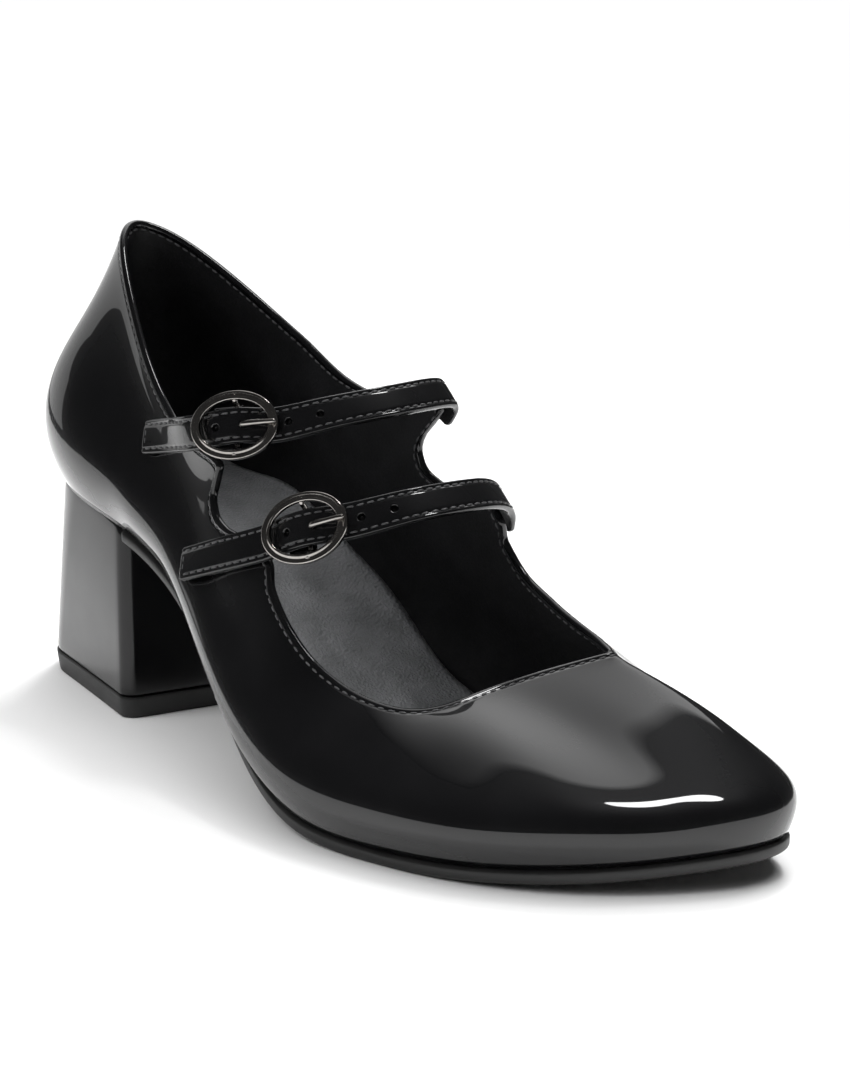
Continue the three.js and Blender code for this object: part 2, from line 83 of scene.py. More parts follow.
# Sections of the last from the back along the lateral side to the toe and back: where the upper
# meets the sole, the topline above it, and how the wall bellies and comes in between them.
STATIONS = [
    # x, y, tx, ty, tz, belly, low, high, shoulder_in, shoulder_up, crown_in, crown_up
    (3, 0, 19, 0, BACK_HEIGHT, 7, 9, 26, 6.5, 45, 14.5, 59),
    (11, -18.3, 26, -9.8, 121.5, 6, 9, 26, 6.5, 42, 13.5, 55),
    (29.5, -26.3, 40.6, -16.8, 107, 5, 9, 22, 5.2, 33, 9.8, 44),
    (46, -26, 56.3, -21.6, 92, 5, 8, 18, 2, 26, 4.5, 34),
    (57, -25.5, 72, -24.5, 81, 6, 7, 16, 1, 22, 1.5, 29),
    (69, -26, 85, -26.5, 72.5, 6, 7, 15, 0, 20, 1, 25),
    (83, -28.5, 98, -28.5, 63, 6, 6, 14, 0, 18, 1, 24),
    (101, -34.5, 112, -31, 53, 6, 6, 15, 1, 19, 3, 25),
    (121, -40.8, 126, -33.5, 43.5, 5.5, 6, 15, 2, 20, 5, 27),
    (145, -44.8, 141, -32.5, 35.5, 5, 6, 14, 2, 20, 8, 26.5),
    (168.5, -41.3, 155, -29, 31.7, 4.5, 6, 13, 3, 19, 10, 25),
    (191, -32.8, 162, -22.5, 31, 4, 6, 12, 5, 18, 17, 25),
    (213, -15.2, 165, -14, 32.5, 3, 5.5, 11, 6.5, 15.5, 25, 23),
    (224.2, 0.4, 167, -4, 34.5, 2, 5, 10, 8.5, 14, 32, 21.3),
    (229.6, 13, 171.5, 8, 37, 1.3, 5, 10, 7.5, 13.5, 33, 22),
    (227.8, 24.8, 176, 17, 39, 1.8, 5, 10, 7, 15, 26, 25),
    (217, 32, 176.5, 20.8, 39.8, 3.5, 5.5, 11, 5, 18, 19, 27.2),
    (197, 37, 170, 23.4, 40.9, 4.5, 6, 12.5, 4, 21.5, 12, 31.2),
    (170, 38, 159, 25.6, 43.9, 5, 6, 14, 3.5, 24.5, 10.5, 34),
    (145, 36, 146, 27, 49.5, 5, 6, 15, 3, 28, 7.5, 38),
    (121, 31.5, 136, 27.5, 57.5, 6, 7, 18, 1, 32, 3, 40),
    (101, 27.5, 125, 27.5, 67, 6, 8, 18, 0, 29, 1, 37),
    (83, 24.5, 112, 27, 76, 6, 8, 17, -1, 26, 0, 34),
    (68, 23.5, 97, 26.3, 83.5, 6, 8, 17, 0, 25, 0, 33),
    (55, 23.5, 79, 25, 90.7, 6, 8, 17, 0, 26, 0, 34),
    (44, 24.5, 62, 22.8, 98.8, 6, 8, 18, 0, 28, 1.5, 37),
    (28.5, 25.3, 44, 18.2, 109.8, 5, 9, 22, 3.5, 34, 7, 45),
    (11, 17.8, 27, 9.8, 121.5, 6, 9, 26, 6.5, 42, 13.5, 55),
]

# Where the edge of the upper leaves the topline: tabs rise above it, half-round cuts fall below.
EDGE = [
    # station, reach
    (0, 1.01), (2, 1.005), (3.7, 0.985), (4.6, 1.05), (5.15, 1.085), (5.3, 1.03), (5.45, 0.965),
    (5.75, 0.937), (6, 0.955), (6.25, 1.0), (6.6, 1.055), (6.95, 1.065), (7.35, 1.03),
    (8, 1.015), (9, 1), (16, 1), (18.5, 0.995), (19.5, 0.97), (20, 0.985), (20.2, 1.05),
    (20.6, 1.055), (21.1, 1.03), (21.45, 0.92), (21.8, 0.912), (22.15, 0.945), (22.35, 0.99),
    (22.5, 1.07), (22.8, 1.09), (23.4, 1.0), (24, 0.985), (25, 1.0), (28, 1.01),
]

# Centre lines of the straps from the lateral tip to the medial quarter: lean in degrees and flare
# turn the width, lift raises the strap over the bar of the buckle.
STRAPS = {
    "upper": [
        # x, y, z, lean, flare, lift
        (58.5, -25.4, 76.4, 72, -0.33, 0),
        (71, -25.8, 79, 70, -0.1, 0),
        (82, -27.3, 81.4, 62, 0, 0),
        (92.2, -21.7, 83.6, 54, 0, 2.4),
        (100, -16, 84.8, 50, 0, 0),
        (107.5, -8.5, 87.4, 44, 0, 0),
        (112.8, 2, 89.4, 43, 0, 0),
        (115, 12.8, 90.4, 43, 0, 0),
        (113.6, 22, 90.3, 44, 0, 0),
        (110.8, 29.7, 88.3, 44, 0, 0),
        (107.3, 29.5, 82.9, 44, 0, 0),
    ],
    "lower": [
        # x, y, z, lean, flare, lift
        (86.5, -34.4, 50.4, 66, -0.46, 0),
        (99, -32.6, 55, 66, -0.32, 0),
        (111.5, -29.6, 59.6, 62, -0.26, 0),
        (122.4, -24, 64.2, 53, -0.1, 2.4),
        (131, -17.5, 67.3, 49, 0, 0),
        (137, -8, 69.9, 44, 0, 0),
        (139.8, 3, 71, 43, 0, 0),
        (139.6, 12.8, 70.7, 43, 0, 0),
        (137.3, 20.8, 69.3, 44, 0, 0),
        (134, 27.6, 65.7, 44, 0, 0),
        (130.4, 30.5, 59.9, 44, 0, 0),
    ],
}

# ---------- sizes of the finish ----------

HEEL_CORNER = 3.0
HEEL_SEAM = {"depth": 0.45, "width": 0.45}
EDGE_FOLD = WALL / 2
# The surface is followed in fine steps down to this distance below the edge.
EDGE_DETAIL = 5.6
EDGE_STEP = 0.28
STITCH_INSET = 2.1
STITCH_PITCH = 2.5
STITCH_LENGTH = 1.9
THREAD_RADIUS = 0.24
CHANNEL_DEPTH = 0.2
CHANNEL_WIDTH = 0.42
STRAP_STITCH_INSET = 1.35
STRAP_CORNER = 1.3
STRAP_END_ROUND = 0.5
# Places of the holes along the strap, from the bar of the buckle.
STRAP_HOLES = (-4.6, 2.3, 12.9, 20.6)
HOLE_RADIUS = 0.85
HOLE_DEPTH = 1.35
# Section of the buckle's frame and the groove along its face.
RING_WIDTH = 2.3
RING_HEIGHT = 1.7
RING_SQUARE = 0.62
GROOVE = {"depth": 0.45, "width": 0.55}
CHAPE_OVERHANG = 1.0
CHAPE_THICKNESS = 1.1
# Raised rim of the sock round the heel and the higher cushion along its arch; fades, rises and
# falls are places along x.
SOCK_CUP = {"height": 0.9, "width": 7, "fades": (30, 90)}
SOCK_ARCH = {"height": 5.5, "out": 0.5, "width": 13, "rises": (30, 60), "falls": (88, 118)}


# ---------- curves ----------

def spline(knots, values, periodic=False):
    """Cubic spline with continuous curvature through values at knots, periodic or natural."""
    t = np.asarray(knots, float)
    y = np.asarray(values, float).reshape(len(values), -1)
    if periodic:
        y = np.vstack([y, y[:1]])
    h = np.diff(t)
    slope = np.diff(y, axis=0) / h[:, None]
    n = len(h) if periodic else len(t)
    a = np.zeros((n, n))
    b = np.zeros((n, y.shape[1]))
    for i in range(n):
        if not periodic and i in (0, n - 1):
            a[i, i] = 1
            continue
        a[i, i - 1] += h[i - 1]
        a[i, i] += 2 * (h[i - 1] + h[i])
        a[i, (i + 1) % n] += h[i]
        b[i] = 6 * (slope[i] - slope[i - 1])
    m = np.linalg.solve(a, b)
    if periodic:
        m = np.vstack([m, m[:1]])

    def at(x):
        x = np.asarray(x, float)
        k = np.clip(np.searchsorted(t, x, side="left") - 1, 0, len(h) - 1)
        d = h[k]
        p = ((t[k + 1] - x) / d)[..., None]
        q = 1 - p
        bend = ((p ** 3 - p) * m[k] + (q ** 3 - q) * m[k + 1]) * (d * d)[..., None] / 6
        return p * y[k] + q * y[k + 1] + bend

    return at


def gentle(table):
    """Smooth curve through (at, value) rows that never overshoots between rows."""
    t, y = np.array(table, float).T
    h = np.diff(t)
    d = np.diff(y) / h
    m = np.zeros(len(t))
    both = d[:-1] * d[1:] > 0
    total = np.where(both, d[:-1] + d[1:], 1)
    m[1:-1] = np.where(both, 2 * d[:-1] * d[1:] / total, 0)

    def at(x):
        x = np.asarray(x, float)
        k = np.clip(np.searchsorted(t, x, side="left") - 1, 0, len(h) - 1)
        s = (x - t[k]) / h[k]
        hold = (1 + 2 * s) * (1 - s) ** 2
        ease = s * (1 - s) ** 2 * h[k]
        pull = s * s * (s - 1) * h[k]
        return hold * y[k] + ease * m[k] + (1 - hold) * y[k + 1] + pull * m[k + 1]

    return at


def unit(v):
    return v / np.linalg.norm(v, axis=-1, keepdims=True)


def smoothstep(x):
    x = np.clip(x, 0, 1)
    return x * x * (3 - 2 * x)


def fading(x, start, end):
    """One up to start, zero from end on."""
    return smoothstep((end - x) / (end - start))


def lengths(points):
    """Length along a path at each of its points."""
    steps = np.linalg.norm(np.diff(points, axis=0), axis=1)
    return np.concatenate([[0], np.cumsum(steps)])


def rounded(from_end, radius, least):
    """Share of the full thickness near a rounded end; least is the square of its smallest."""
    return np.sqrt(np.clip(1 - np.clip(1 - from_end / radius, 0, 1) ** 2, least, 1))


def squared(x, power):
    """A sine or cosine bent so that the circle it draws turns squarer."""
    return np.sign(x) * np.abs(x) ** power


# ---------- the last ----------

COUNT = len(STATIONS)
# Station of the toe, and how far from it and from the heel's middle the two sides of a sole start.
TOE = COUNT / 2
TOE_GAP = 0.02
WALL_KNOTS = np.array([0, 0, 0, 0, 1 / 3, 2 / 3, 1, 1, 1, 1])
_bed = spline([r[0] for r in BED], [r[1] for r in BED])


def bed(x):
    return _bed(x)[..., 0]


def chord_knots(points, power):
    steps = np.linalg.norm(np.roll(points, -1, axis=0) - points, axis=1) ** power
    knots = np.concatenate([[0], np.cumsum(steps)])
    return knots / knots[-1]


def controls():
    table = np.array(STATIONS, float)
    foot = np.column_stack([table[:, 0], table[:, 1], bed(table[:, 0])])
    knots = chord_knots(foot, 1)
    line = spline(knots, foot, periodic=True)
    step = 1e-4
    along = line((knots[:-1] + step) % 1) - line((knots[:-1] - step) % 1)
    along[:, 2] = 0
    along = unit(along)
    inward = np.column_stack([-along[:, 1], along[:, 0], np.zeros(COUNT)])
    top = table[:, 2:5]
    slide = np.sum((top - foot) * along, axis=1)
    rise = top[:, 2] - foot[:, 2]

    def at(into, up):
        lift = np.column_stack([np.zeros(COUNT), np.zeros(COUNT), up])
        return foot + inward * into[:, None] + along * (slide * (up / rise) ** 2)[:, None] + lift

    belly, low, high, shoulder_in, shoulder_up, crown_in, crown_up = table[:, 5:].T
    return np.stack([foot, at(-belly, low), at(-belly, high), at(shoulder_in, shoulder_up),
                     at(crown_in, crown_up), top], axis=1)


CONTROLS = controls()
LOOP = chord_knots((CONTROLS[:, 0] + CONTROLS[:, 2]) / 2, 0.6)
SECTION = spline(LOOP, CONTROLS.reshape(COUNT, -1), periodic=True)


def weights(v):
    """Weights of the six controls of a section at height fractions v, carried on past 1."""
    span = 3 + (v >= WALL_KNOTS[4]).astype(int) + (v >= WALL_KNOTS[5]).astype(int)
    w = [np.ones_like(v)]
    for degree in (1, 2, 3):
        raised = [np.zeros_like(v) for _ in range(degree + 1)]
        for r in range(degree):
            left = WALL_KNOTS[span + 1 - degree + r]
            right = WALL_KNOTS[span + 1 + r]
            share = (v - left) / (right - left)
            raised[r] += (1 - share) * w[r]
            raised[r + 1] += share * w[r]
        w = raised
    out = np.zeros(v.shape + (6,))
    for r in range(4):
        np.put_along_axis(out, (span - 3 + r)[..., None], w[r][..., None], -1)
    return out


def last(station, v):
    """Points of the last at stations and height fractions of the same shape."""
    station, v = np.broadcast_arrays(np.asarray(station, float), np.asarray(v, float))
    s = station % COUNT
    k = np.floor(s).astype(int)
    u = LOOP[k] + (s - k) * (LOOP[k + 1] - LOOP[k])
    section = SECTION(u).reshape(u.shape + (6, 3))
    return np.einsum("...k,...kd->...d", weights(v), section)


def last_frame(station, v):
    """Point, outward normal and upward direction along the wall of the last."""
    e = 1e-3
    along = last(station + e, v) - last(station - e, v)
    up = last(station, v + e) - last(station, v - e)
    return last(station, v), unit(np.cross(along, up)), up / (2 * e)


def outline(station, inset):
    """Plan outline of the sole line moved inwards, at z = 0."""
    e = 1e-3
    along = last(station + e, 0) - last(station - e, 0)
    along[..., 2] = 0
    along = unit(along)
    p = last(station, 0)
    return np.stack([p[..., 0] - along[..., 1] * inset, p[..., 1] + along[..., 0] * inset,
                     np.zeros(p.shape[:-1])], axis=-1)


# ---------- meshes ----------

def row(points):
    return (np.asarray(points, float) - ORIGIN) * 0.001


def make(name, points, faces, materials, slots=None):
    """One smooth piece that rides on the shoe, from points in design millimetres.

    slots is the material of each face.
    """
    mesh = bpy.data.meshes.new(name)
    mesh.from_pydata(row(points).tolist(), [], [tuple(map(int, f)) for f in faces])
    for m in materials:
        mesh.materials.append(m)
    if slots is not None:
        mesh.polygons.foreach_set("material_index", np.asarray(slots, np.int32))
    mesh.polygons.foreach_set("use_smooth", np.ones(len(faces), bool))
    mesh.update()
    obj = bpy.data.objects.new(name, mesh)
    bpy.context.scene.collection.objects.link(obj)
    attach(obj, "root")
    return obj


def grid_faces(rows, columns, wrap_rows, wrap_columns):
    i = np.arange(rows if wrap_rows else rows - 1)
    j = np.arange(columns if wrap_columns else columns - 1)
    i, j = np.meshgrid(i, j, indexing="ij")
    i, j = i.ravel(), j.ravel()
    below, right = (i + 1) % rows, (j + 1) % columns
    return np.stack([i * columns + j, i * columns + right,
                     below * columns + right, below * columns + j], axis=1)


def facing_out(points, faces):
    p = points[faces]
    volume = np.sum(np.cross(p[:, 0], p[:, 1]) * p[:, 2]) + np.sum(
        np.cross(p[:, 0], p[:, 2]) * p[:, 3])
    return faces if volume > 0 else faces[:, ::-1]


def tube_piece(name, rings, wrapped, materials, slots=None):
    """Closed solid through rings of equal length; open ends are closed by strips across."""
    count, n = rings.shape[:2]
    points = rings.reshape(-1, 3)
    faces = grid_faces(count, n, wrapped, True)
    if not wrapped:
        caps = []
        for base, end in ((0, 0), ((count - 1) * n, 1)):
            j = np.arange(n // 2 - 1)
            quad = np.stack([base + j, base + n - 1 - j, base + n - 2 - j, base + j + 1], axis=1)
            caps.append(quad[:, ::-1] if end else quad)
        faces = np.vstack([faces, *caps])
    faces = facing_out(points, faces)
    if slots is not None:
        slots = np.concatenate([slots, np.zeros(len(faces) - len(slots), int)])
    return make(name, points, faces, materials, slots)


def sweep_rings(points, radius, up):
    """Rings of a round bar along points; radius is a number or one for each point."""
    sides = 16
    before, after = np.roll(points, 1, axis=0), np.roll(points, -1, axis=0)
    before[0], after[-1] = points[0], points[-1]
    along = unit(after - before)
    side = unit(np.cross(np.broadcast_to(up, along.shape), along))
    over = np.cross(along, side)
    a = 2 * np.pi * (np.arange(sides) + 0.5) / sides
    r = np.broadcast_to(np.asarray(radius, float), (len(points),))[:, None, None]
    return points[:, None] + r * (np.cos(a)[None, :, None] * side[:, None]
                                  + np.sin(a)[None, :, None] * over[:, None])


# ---------- stitches ----------

def resample(path, normals, pitch):
    """Points, directions and normals at even steps along a path."""
    s = lengths(path)
    count = max(2, int(round(s[-1] / pitch)))
    at = (np.arange(count) + 0.5) * s[-1] / count

    def pick(values, shift):
        return np.column_stack([np.interp(at + shift, s, c) for c in values.T])

    reach = 0.3
    return pick(path, 0), unit(pick(path, reach) - pick(path, -reach)), unit(pick(normals, 0))


def stitches(name, paths, materials):
    """Short rounded stitches lying half sunk along paths of (points, normals)."""
    sides, stations = 8, 7
    middle_up, ends_down = 0.06, 0.16
    t = np.linspace(-1, 1, stations)
    swell = np.sqrt(np.clip(1 - np.abs(t) ** 5, 0.03, 1))
    a = 2 * np.pi * np.arange(sides) / sides
    points, faces = [], []
    base_faces = grid_faces(stations, sides, False, True)
    for path, normals in paths:
        centres, along, normal = resample(path, normals, STITCH_PITCH)
        side = np.cross(normal, along)
        for c, d, s, n in zip(centres, along, side, normal):
            start = len(points) * stations * sides
            arch = n[None] * (middle_up - ends_down * t[:, None] ** 2)
            ring = (c + d * (t[:, None] * STITCH_LENGTH / 2) + arch)[:, None]
            ring = ring + THREAD_RADIUS * swell[:, None, None] * (
                np.cos(a)[None, :, None] * s + np.sin(a)[None, :, None] * n)
            points.append(ring.reshape(-1, 3))
            faces.extend((base_faces + start).tolist())
            faces.append([start + k for k in range(sides)][::-1])
            faces.append([start + (stations - 1) * sides + k for k in range(sides)])
    return make(name, np.vstack(points), faces, materials)


# ---------- materials ----------

def material(name, colour, roughness, metallic=0.0, coat=0.0):
    m = bpy.data.materials.new(name)
    m.use_nodes = True
    nodes, links = m.node_tree.nodes, m.node_tree.links
    shader = nodes["Principled BSDF"]
    shader.inputs["Base Color"].default_value = (*colour, 1)
    shader.inputs["Roughness"].default_value = roughness
    shader.inputs["Metallic"].default_value = metallic
    shader.inputs["IOR"].default_value = 1.5
    shader.inputs["Coat Weight"].default_value = coat
    shader.inputs["Coat Roughness"].default_value = 0.03
    place = nodes.new("ShaderNodeTexCoord").outputs["Object"]
    return m, nodes, links, shader, place


# Noise values between which a cloudy pattern goes from one shade to the other.
CLOUD = (0.3, 0.7)


def noise(nodes, links, place, size_mm, detail=2.0):
    n = nodes.new("ShaderNodeTexNoise")
    n.inputs["Scale"].default_value = 1000 / size_mm
    n.inputs["Detail"].default_value = detail
    links.new(place, n.inputs["Vector"])
    return n.outputs["Fac"]


def cells(nodes, links, place, size_mm):
    n = nodes.new("ShaderNodeTexVoronoi")
    n.inputs["Scale"].default_value = 1000 / size_mm
    links.new(place, n.inputs["Vector"])
    return n.outputs["Distance"]


def spread(nodes, links, value, low, high, to_low, to_high):
    n = nodes.new("ShaderNodeMapRange")
    n.inputs["From Min"].default_value = low
    n.inputs["From Max"].default_value = high
    n.inputs["To Min"].default_value = to_low
    n.inputs["To Max"].default_value = to_high
    links.new(value, n.inputs["Value"])
    return n.outputs["Result"]


def tint(nodes, links, value, dark, light):
    ramp = nodes.new("ShaderNodeValToRGB")
    ramp.color_ramp.elements[0].color = (*dark, 1)
    ramp.color_ramp.elements[1].color = (*light, 1)
    ramp.color_ramp.elements[0].position = CLOUD[0]
    ramp.color_ramp.elements[1].position = CLOUD[1]
    links.new(value, ramp.inputs["Fac"])
    return ramp.outputs["Color"]


def bump(nodes, links, height, depth_mm, strength, after=None):
    n = nodes.new("ShaderNodeBump")
    n.inputs["Distance"].default_value = depth_mm / 1000
    n.inputs["Strength"].default_value = strength
    links.new(height, n.inputs["Height"])
    if after is not None:
        links.new(after, n.inputs["Normal"])
    return n.outputs["Normal"]


def patent(name="patent_leather", coat=1.0):
    m, nodes, links, shader, place = material(name, (0.003, 0.003, 0.0035), 0.4, coat=coat)
    shader.inputs["Specular IOR Level"].default_value = 0.1
    cloudy = noise(nodes, links, place, 22, detail=3)
    links.new(tint(nodes, links, cloudy, (0.0022, 0.0022, 0.0026), (0.0045, 0.0045, 0.005)),
              shader.inputs["Base Color"])
    links.new(spread(nodes, links, cloudy, *CLOUD, 0.35, 0.45), shader.inputs["Roughness"])
    wave = bump(nodes, links, noise(nodes, links, place, 18, detail=1), 0.2, 0.06)
    peel = bump(nodes, links, noise(nodes, links, place, 1.1, detail=2), 0.006, 0.3, wave)
    links.new(peel, shader.inputs["Normal"])
    links.new(wave, shader.inputs["Coat Normal"])
    return m


def grained(name, dark, light, roughness, cell_mm, depth_mm):
    """Matt leather with a fine pebbled grain."""
    m, nodes, links, shader, place = material(name, light, roughness)
    cloudy = noise(nodes, links, place, 9, detail=4)
    links.new(tint(nodes, links, cloudy, dark, light), shader.inputs["Base Color"])
    pebble = cells(nodes, links, place, cell_mm)
    fine = noise(nodes, links, place, cell_mm * 0.6, detail=3)
    links.new(spread(nodes, links, fine, *CLOUD, roughness - 0.06, roughness + 0.08),
              shader.inputs["Roughness"])
    grain = bump(nodes, links, pebble, depth_mm, 1.0)
    links.new(bump(nodes, links, fine, depth_mm, 1.0, grain), shader.inputs["Normal"])
    return m


def rubber(name, shade, roughness):
    m, nodes, links, shader, place = material(name, (shade,) * 3, roughness)
    speck = noise(nodes, links, place, 0.7, detail=4)
    cloudy = noise(nodes, links, place, 12, detail=3)
    links.new(tint(nodes, links, cloudy, (shade * 0.8,) * 3, (shade * 1.25,) * 3),
              shader.inputs["Base Color"])
    links.new(spread(nodes, links, cloudy, *CLOUD, roughness - 0.06, roughness + 0.06),
              shader.inputs["Roughness"])
    links.new(bump(nodes, links, speck, 0.04, 0.4), shader.inputs["Normal"])
    return m


def nickel():
    m, nodes, links, shader, place = material("dark_nickel", (0.36, 0.34, 0.32), 0.14, metallic=1)
    cloudy = noise(nodes, links, place, 5, detail=3)
    links.new(tint(nodes, links, cloudy, (0.3, 0.285, 0.27), (0.42, 0.4, 0.38)),
              shader.inputs["Base Color"])
    links.new(spread(nodes, links, cloudy, *CLOUD, 0.1, 0.2), shader.inputs["Roughness"])
    links.new(bump(nodes, links, noise(nodes, links, place, 0.8), 0.01, 0.3),
              shader.inputs["Normal"])
    return m


def thread():
    m, nodes, links, shader, place = material("waxed_thread", (0.06, 0.06, 0.062), 0.3)
    twist = noise(nodes, links, place, 0.35, detail=2)
    links.new(tint(nodes, links, twist, (0.03, 0.03, 0.031), (0.1, 0.1, 0.103)),
              shader.inputs["Base Color"])
    links.new(bump(nodes, links, twist, 0.06, 0.6), shader.inputs["Normal"])
    return m


PATENT = patent()
HEEL_PATENT = patent("heel_patent", 0.65)
SOCK = grained("sock_leather", (0.12, 0.123, 0.127), (0.19, 0.193, 0.2), 0.38, 0.9, 0.3)
LINING = grained("lining_leather", (0.006, 0.006, 0.0065), (0.011, 0.011, 0.012), 0.6, 0.8, 0.05)
OUTSOLE = rubber("sole_rubber", 0.012, 0.42)
LIFT = rubber("lift_rubber", 0.016, 0.55)
METAL = nickel()
THREAD = thread()


# ---------- upper ----------

def edge_profile(d):
    """How far the surface stands out at distance d below the edge: rolled fold, then channel."""
    fold_height, fold_at, fold_width = 0.16, 0.5, 0.75
    roll = fold_height * np.exp(-((d - fold_at) / fold_width) ** 2)
    channel = CHANNEL_DEPTH * np.exp(-((d - STITCH_INSET + EDGE_FOLD) / CHANNEL_WIDTH) ** 2)
    return roll - channel


def upper_edge(station):
    """Height fraction of the centre of the rolled edge, and millimetres of wall per unit of it."""
    reach = gentle(EDGE)(station)
    scale = np.linalg.norm(last_frame(station, reach)[2], axis=-1)
    return reach - EDGE_FOLD / scale, scale


def upper():
    """Shell of the upper: its face, the rolled edge, and the lining in a material of its own."""
    per_station, low_rows, fold_steps = 16, 34, 8
    beyond = 50.0
    station = np.arange(COUNT * per_station) / per_station
    top, scale = upper_edge(station)
    near = np.arange(0, EDGE_DETAIL, EDGE_STEP)
    fine = top[:, None] - near[None] / scale[:, None]
    coarse = fine[:, -1:] * np.linspace(1, 0, low_rows)[None, 1:]
    v = np.hstack([fine, coarse])
    d = np.hstack([np.broadcast_to(near, fine.shape), np.full(coarse.shape, beyond)])
    s = np.broadcast_to(station[:, None], v.shape)
    p, n, up = last_frame(s, v)
    stand = edge_profile(d)[..., None]
    outer = (p + n * stand)[:, ::-1]
    lining = p - n * (WALL + 0.4 * stand)
    middle = (p[:, 0] - n[:, 0] * EDGE_FOLD)[:, None]
    a = np.linspace(0, np.pi, fold_steps + 2)[1:-1]
    bulge = EDGE_FOLD + stand[:, :1] * np.clip(np.cos(a), 0, 1)[None, :, None]
    fold = middle + bulge * np.cos(a)[None, :, None] * n[:, :1] \
        + EDGE_FOLD * np.sin(a)[None, :, None] * unit(up[:, :1])
    rings = np.concatenate([outer, fold, lining], axis=1)
    ring_size = rings.shape[1]
    turn = outer.shape[1] + fold_steps + 3
    column = np.tile(np.arange(ring_size), len(station))
    slots = np.where((column >= turn) & (column < ring_size - 1), 1, 0)
    shell = tube_piece("upper_shell", rings, True, [PATENT, LINING], slots)
    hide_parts("upper")


def edge_stitches():
    """Stitch rows along the edge of the upper, one outside in the channel and one on the lining."""
    per_station = 24
    station = np.arange(0, COUNT + 1e-9, 1 / per_station)
    top, scale = upper_edge(station)
    v = top - (STITCH_INSET - EDGE_FOLD) / scale
    p, n, _ = last_frame(station, v)
    proud = THREAD_RADIUS * 0.2
    outside = p + n * (proud - CHANNEL_DEPTH)
    inside = p - n * (WALL + proud)
    stitches("upper_stitches", [(outside, n), (inside, -n)], [THREAD])


# ---------- sole, heel and insole ----------

def station_at(x, start, end):
    """Station between start and end where the sole line passes x."""
    a, b = start, end
    for _ in range(40):
        m = (a + b) / 2
        if last(m, 0.0)[0] < x:
            a = m
        else:
            b = m
    return (a + b) / 2


def sole_ring(start, end, inset, height):
    """Ring round the sole line: lateral side out to the toe, then the medial side back."""
    half = 200
    out = outline(np.linspace(start, TOE - TOE_GAP, half), inset)
    home = outline(np.linspace(TOE + TOE_GAP, end, half), inset)
    ring = np.vstack([out, home])
    ring[:, 2] = height(ring[:, 0])
    return ring


def outsole():
    """Sole with worked edges; its ends meet the heel breast."""
    lateral = station_at(SHANK_START["lateral"], 1, 10)
    medial = station_at(SHANK_START["medial"], COUNT - 1, COUNT - 10)

    def top(x):
        return bed(x) - GAP

    def bottom(x):
        return np.maximum(0, bed(x) - GAP - SOLE_THICKNESS)

    levels = [
        # inset, share of the height down, millimetres down
        (0.9, 0, 0), (0.3, 0, 0.05), (0.0, 0, 0.25), (-0.3, 0, 0.5), (-0.45, 0, 0.85),
        (-0.45, 0.5, 0), (-0.4, 1, -0.9), (-0.2, 1, -0.45), (0.2, 1, -0.15), (0.8, 1, -0.02),
        (1.6, 1, 0),
    ]
    rings = [sole_ring(lateral, medial, inset,
                       lambda x, s=share, d=down: top(x) + (bottom(x) - top(x)) * s - d)
             for inset, share, down in levels]
    piece = tube_piece("outsole_rubber", np.array(rings), False, [OUTSOLE])
    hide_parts("outsole")


def insole():
    """Sock and board, with a raised rim at the heel and a cushion along the arch."""
    clear = WALL + 0.15
    half, across = 220, 24
    board_up, roll_depth, roll_width = 0.1, 0.25, 0.3
    ring = [outline(np.linspace(TOE_GAP, TOE - TOE_GAP, half), clear),
            outline(np.linspace(COUNT - TOE_GAP, TOE + TOE_GAP, half), clear)]
    t = np.linspace(0, 1, across + 1)[None, :, None]
    sheet = ring[0][:, None] * (1 - t) + ring[1][:, None] * t
    x = sheet[..., 0]
    width = np.linalg.norm(ring[1] - ring[0], axis=1)[:, None]
    from_edge = np.minimum(t[..., 0], 1 - t[..., 0]) * width
    roll = roll_depth * np.exp(-(from_edge / roll_width) ** 2)
    cup = SOCK_CUP["height"] * (1 - smoothstep(from_edge / SOCK_CUP["width"])) \
        * fading(x, *SOCK_CUP["fades"])
    arch = (1 - fading(x, *SOCK_ARCH["rises"])) * fading(x, *SOCK_ARCH["falls"])
    from_medial = (1 - t[..., 0]) * width
    arch = SOCK_ARCH["height"] * arch * (1 - smoothstep(from_medial / SOCK_ARCH["width"]))
    top = sheet.copy()
    top[..., 1] += SOCK_ARCH["out"] * arch
    top[..., 2] = bed(x) + INSOLE_THICKNESS + cup + arch - roll
    low = sheet.copy()
    low[..., 2] = bed(x) + board_up
    rings = np.concatenate([top, low[:, ::-1]], axis=1)
    piece = tube_piece("insole_sock", rings, False, [SOCK])
    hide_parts("insole")


def heel_outline(size, grow):
    """Plan of the heel: slanting breast, sides that close in to the back, round back."""
    back, radius, breast, half_width = size
    corner = HEEL_CORNER
    centre = back + radius
    front, side, curve = breast + grow - corner, half_width + grow - corner, radius + grow
    reach = math.hypot(front - centre, side)
    turn = math.atan2(side, front - centre) + math.acos((curve - corner) / reach)
    y = np.linspace(0, side, 41)[:-1]
    flat = np.column_stack([np.full(y.shape, front + corner), y])
    a = np.linspace(0, turn, 9)
    corner_arc = np.column_stack([front + corner * np.cos(a), side + corner * np.sin(a)])
    a = np.linspace(turn, np.pi, 49)
    back_arc = np.column_stack([centre + curve * np.cos(a), curve * np.sin(a)])
    t = np.linspace(0, 1, 22)[1:-1, None]
    straight = corner_arc[-1] * (1 - t) + back_arc[0] * t
    first = np.vstack([flat, corner_arc, straight, back_arc])
    ring = np.vstack([first, first[1:-1][::-1] * [1, -1]])
    share = np.clip((ring[:, 0] - centre) / (breast - centre), 0, 1)
    ring[:, 0] += BREAST_SLANT * (ring[:, 1] + half_width) * share
    return np.column_stack([ring[:, 0], ring[:, 1] + HEEL_MIDDLE_Y, np.zeros(len(ring))])


